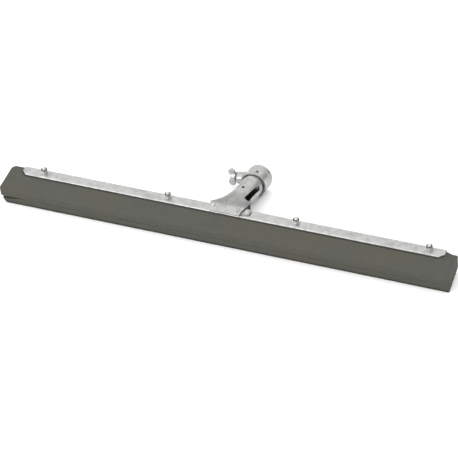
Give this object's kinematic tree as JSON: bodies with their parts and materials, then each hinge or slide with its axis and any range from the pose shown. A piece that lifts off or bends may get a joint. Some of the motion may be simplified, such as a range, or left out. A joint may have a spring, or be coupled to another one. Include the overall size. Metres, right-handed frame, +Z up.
{
  "type": "floor squeegee head",
  "caption": "Floor squeegee head: stacked foam rubber blades bolted between pressed steel jaws, with a bent tubular socket that grips a round handle by a wing screw.",
  "frame": {"origin": "on the floor, below the middle of the head's bounding box", "axes": "+X along the blades, +Y from the lips to the socket's mouth, +Z up from the floor the head rests on"},
  "size_m": [0.566, 0.1422, 0.0356],
  "materials": {
    "galvanised_sheet": "galvanised satin",
    "plated_steel": "bright zinc plate",
    "foam_rubber": "matt closed-cell foam",
    "cast_zinc": "as cast, plated"
  },
  "bodies": {
    "head": {"upper_jaw": "galvanised_sheet", "lower_jaw": "galvanised_sheet", "upper_blade": "foam_rubber", "lower_blade": "foam_rubber", "clamp_bolts": "plated_steel", "clamp_nuts": "plated_steel", "nut_washers": "plated_steel", "head_washers": "plated_steel", "neck_rivets": "plated_steel", "socket": "galvanised_sheet", "sleeve": "galvanised_sheet", "sleeve_rivet": "plated_steel", "screw_boss": "galvanised_sheet"},
    "pad": {"pressure_pad": "plated_steel"},
    "clamping_screw": {"screw_stud": "plated_steel", "wing_head": "cast_zinc"}
  },
  "joints": [
    {"name": "pad_travel", "type": "slide", "parent": "head", "child": "pad", "axis": [0.9976, 0.0029, 0.0697], "range_m": [-0.00376, 0.00188]},
    {"name": "screw_turn", "type": "hinge", "parent": "pad", "child": "clamping_screw", "pos_m": [0, 0.06141, 0.01637], "axis": [0.9976, 0.0029, 0.0697], "range_deg": [-1080, 540]}
  ],
  "couplings": [
    {"joint": "pad_travel", "follows": "screw_turn", "m_per_rad": 0.00019894}
  ]
}
